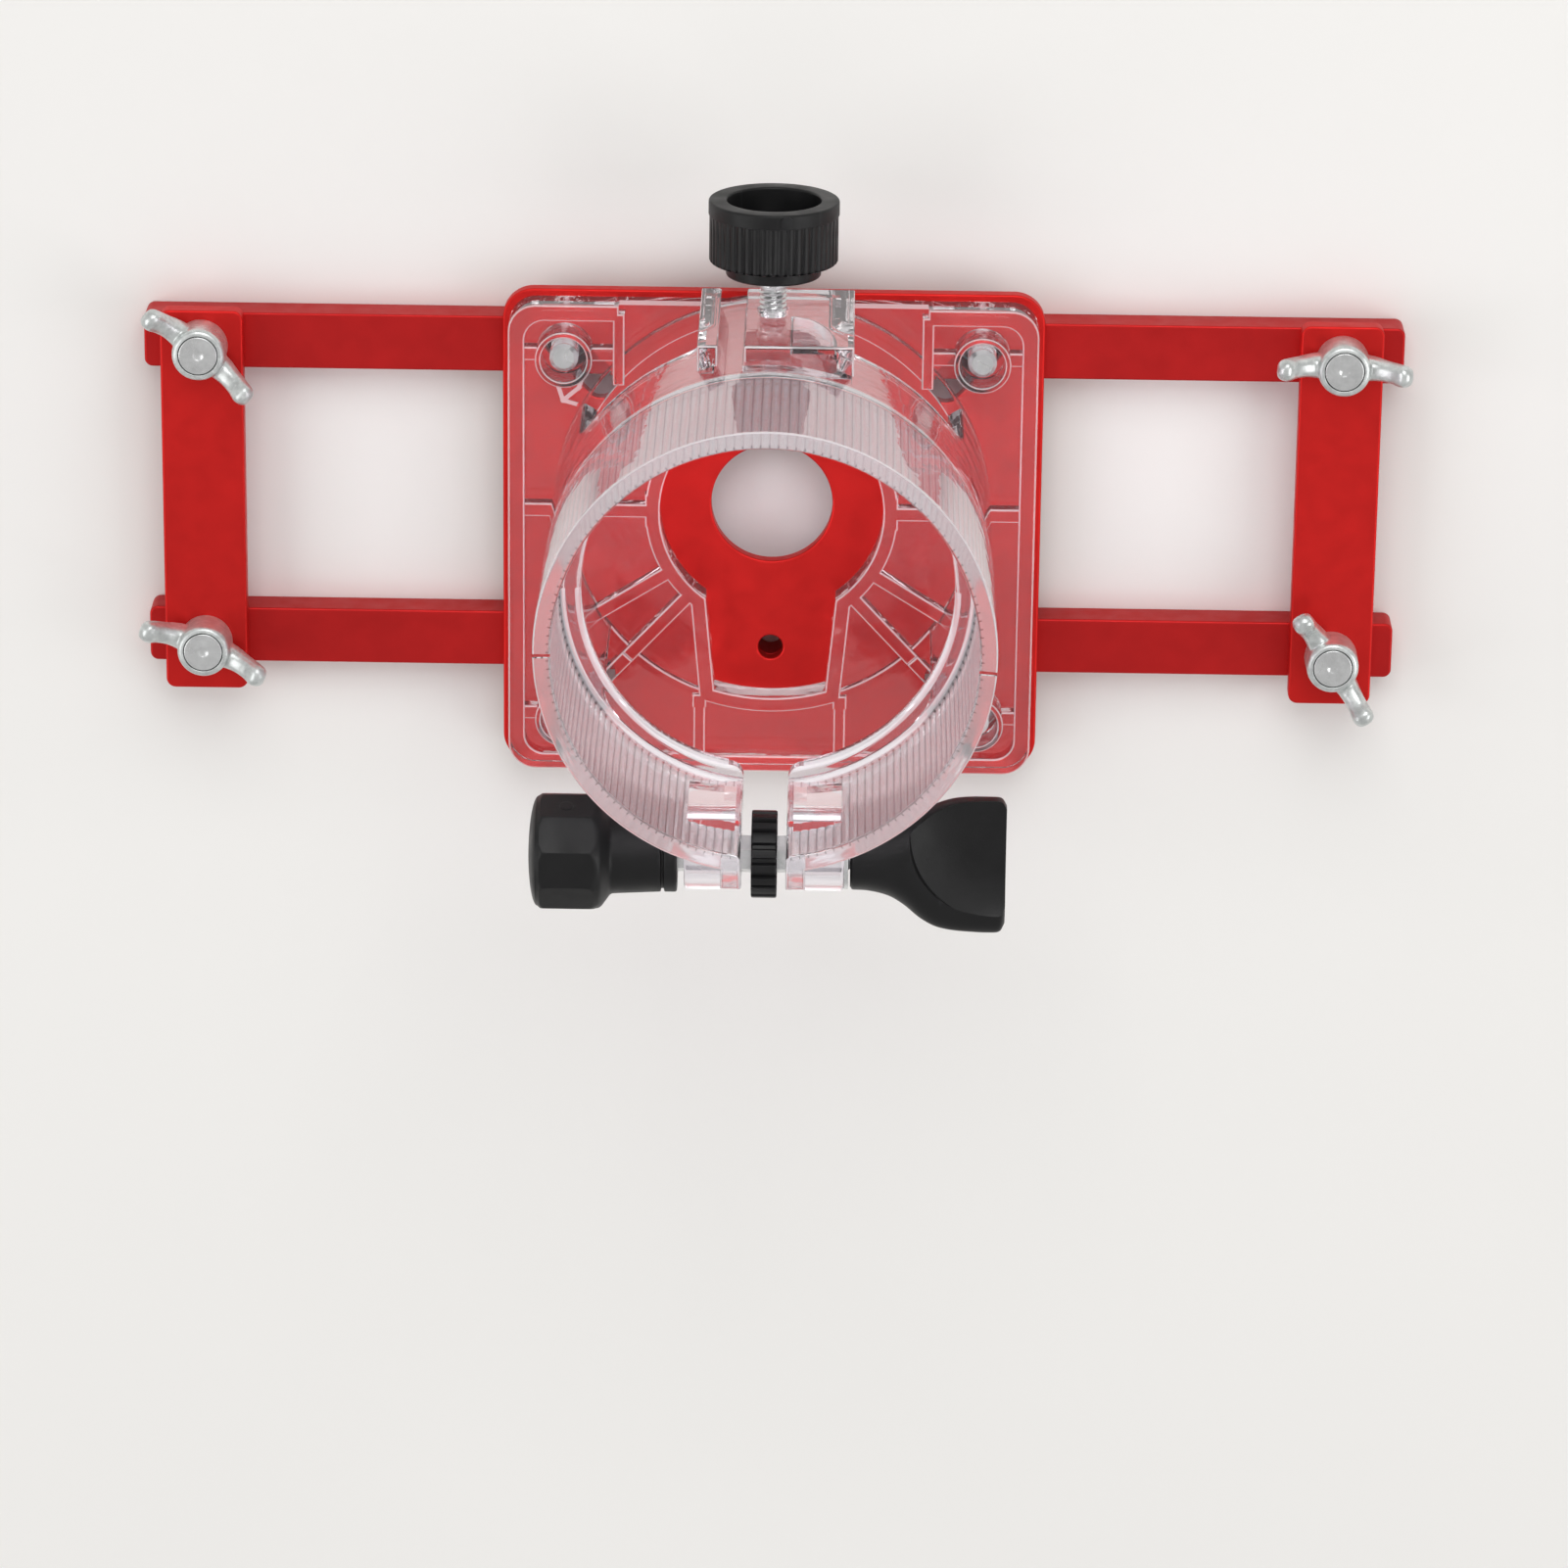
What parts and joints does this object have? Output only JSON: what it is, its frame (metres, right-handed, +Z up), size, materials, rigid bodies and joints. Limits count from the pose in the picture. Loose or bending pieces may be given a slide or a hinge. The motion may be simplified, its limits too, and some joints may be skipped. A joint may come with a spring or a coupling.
{
  "type": "trim router base",
  "caption": "Clear moulded trim router base with a split clamp ring, depth pinion and guide screw on a red plate, carried by long rails with cross bars.",
  "frame": {"origin": "under the middle of the part's box, on the plane of the rails' undersides; the bit axis stands 2 mm in front of it", "axes": "+X along the rails to the clamp lever's side, +Y to the guide screw at the back, +Z up along the socket's axis"},
  "size_m": [0.2046, 0.1064, 0.0863],
  "materials": {
    "red_anodised": "satin red anodised",
    "dark_red_anodised": "satin dark red anodised",
    "clear_plastic": "clear moulded polycarbonate",
    "black_plastic": "moulded black plastic",
    "zinc": "die-cast, tumbled",
    "steel": "bright plated"
  },
  "bodies": {
    "base": {"rear_rail": "dark_red_anodised", "front_rail": "dark_red_anodised", "base_plate": "red_anodised", "left_cross_bar": "red_anodised", "right_cross_bar": "red_anodised", "clear_base": "clear_plastic", "rear_left_base_screw": "steel", "rear_right_base_screw": "steel", "front_left_base_screw": "steel", "front_right_base_screw": "steel", "front_rail_left_screw": "steel", "front_rail_right_screw": "steel", "clamp_washer": "steel"},
    "depth_adjuster": {"depth_knob": "black_plastic", "adjuster_shaft": "steel", "adjuster_pinion": "black_plastic"},
    "clamp_lever": {"clamp_lever": "black_plastic", "lever_insert": "steel"},
    "guide_screw": {"guide_knob": "black_plastic", "guide_screw": "steel"},
    "rear_left_wing_bolt": {"rear_left_wing_head": "zinc", "rear_left_wing_stud": "steel"},
    "front_left_wing_bolt": {"front_left_wing_head": "zinc", "front_left_wing_stud": "steel"},
    "rear_right_wing_bolt": {"rear_right_wing_head": "zinc", "rear_right_wing_stud": "steel"},
    "front_right_wing_bolt": {"front_right_wing_head": "zinc", "front_right_wing_stud": "steel"}
  },
  "joints": [
    {"name": "depth_adjust", "type": "hinge", "parent": "base", "child": "depth_adjuster", "pos_m": [0.00018, -0.041, 0.0671], "axis": [1, 0, 0], "continuous": true},
    {"name": "clamp_turn", "type": "hinge", "parent": "base", "child": "clamp_lever", "pos_m": [0.01358, -0.041, 0.0671], "axis": [1, 0, 0], "continuous": true},
    {"name": "guide_screw_turn", "type": "hinge", "parent": "base", "child": "guide_screw", "pos_m": [0.00018, 0.0433, 0.026], "axis": [0, 1, 0], "continuous": true},
    {"name": "rear_left_wing_turn", "type": "hinge", "parent": "base", "child": "rear_left_wing_bolt", "pos_m": [-0.09172, 0.0234, 0.00965], "axis": [0, 0, 1], "continuous": true},
    {"name": "front_left_wing_turn", "type": "hinge", "parent": "base", "child": "front_left_wing_bolt", "pos_m": [-0.09172, -0.0265, 0.00965], "axis": [0, 0, 1], "continuous": true},
    {"name": "rear_right_wing_turn", "type": "hinge", "parent": "base", "child": "rear_right_wing_bolt", "pos_m": [0.09138, 0.0234, 0.00965], "axis": [0, 0, 1], "continuous": true},
    {"name": "front_right_wing_turn", "type": "hinge", "parent": "base", "child": "front_right_wing_bolt", "pos_m": [0.09138, -0.0265, 0.00965], "axis": [0, 0, 1], "continuous": true}
  ]
}
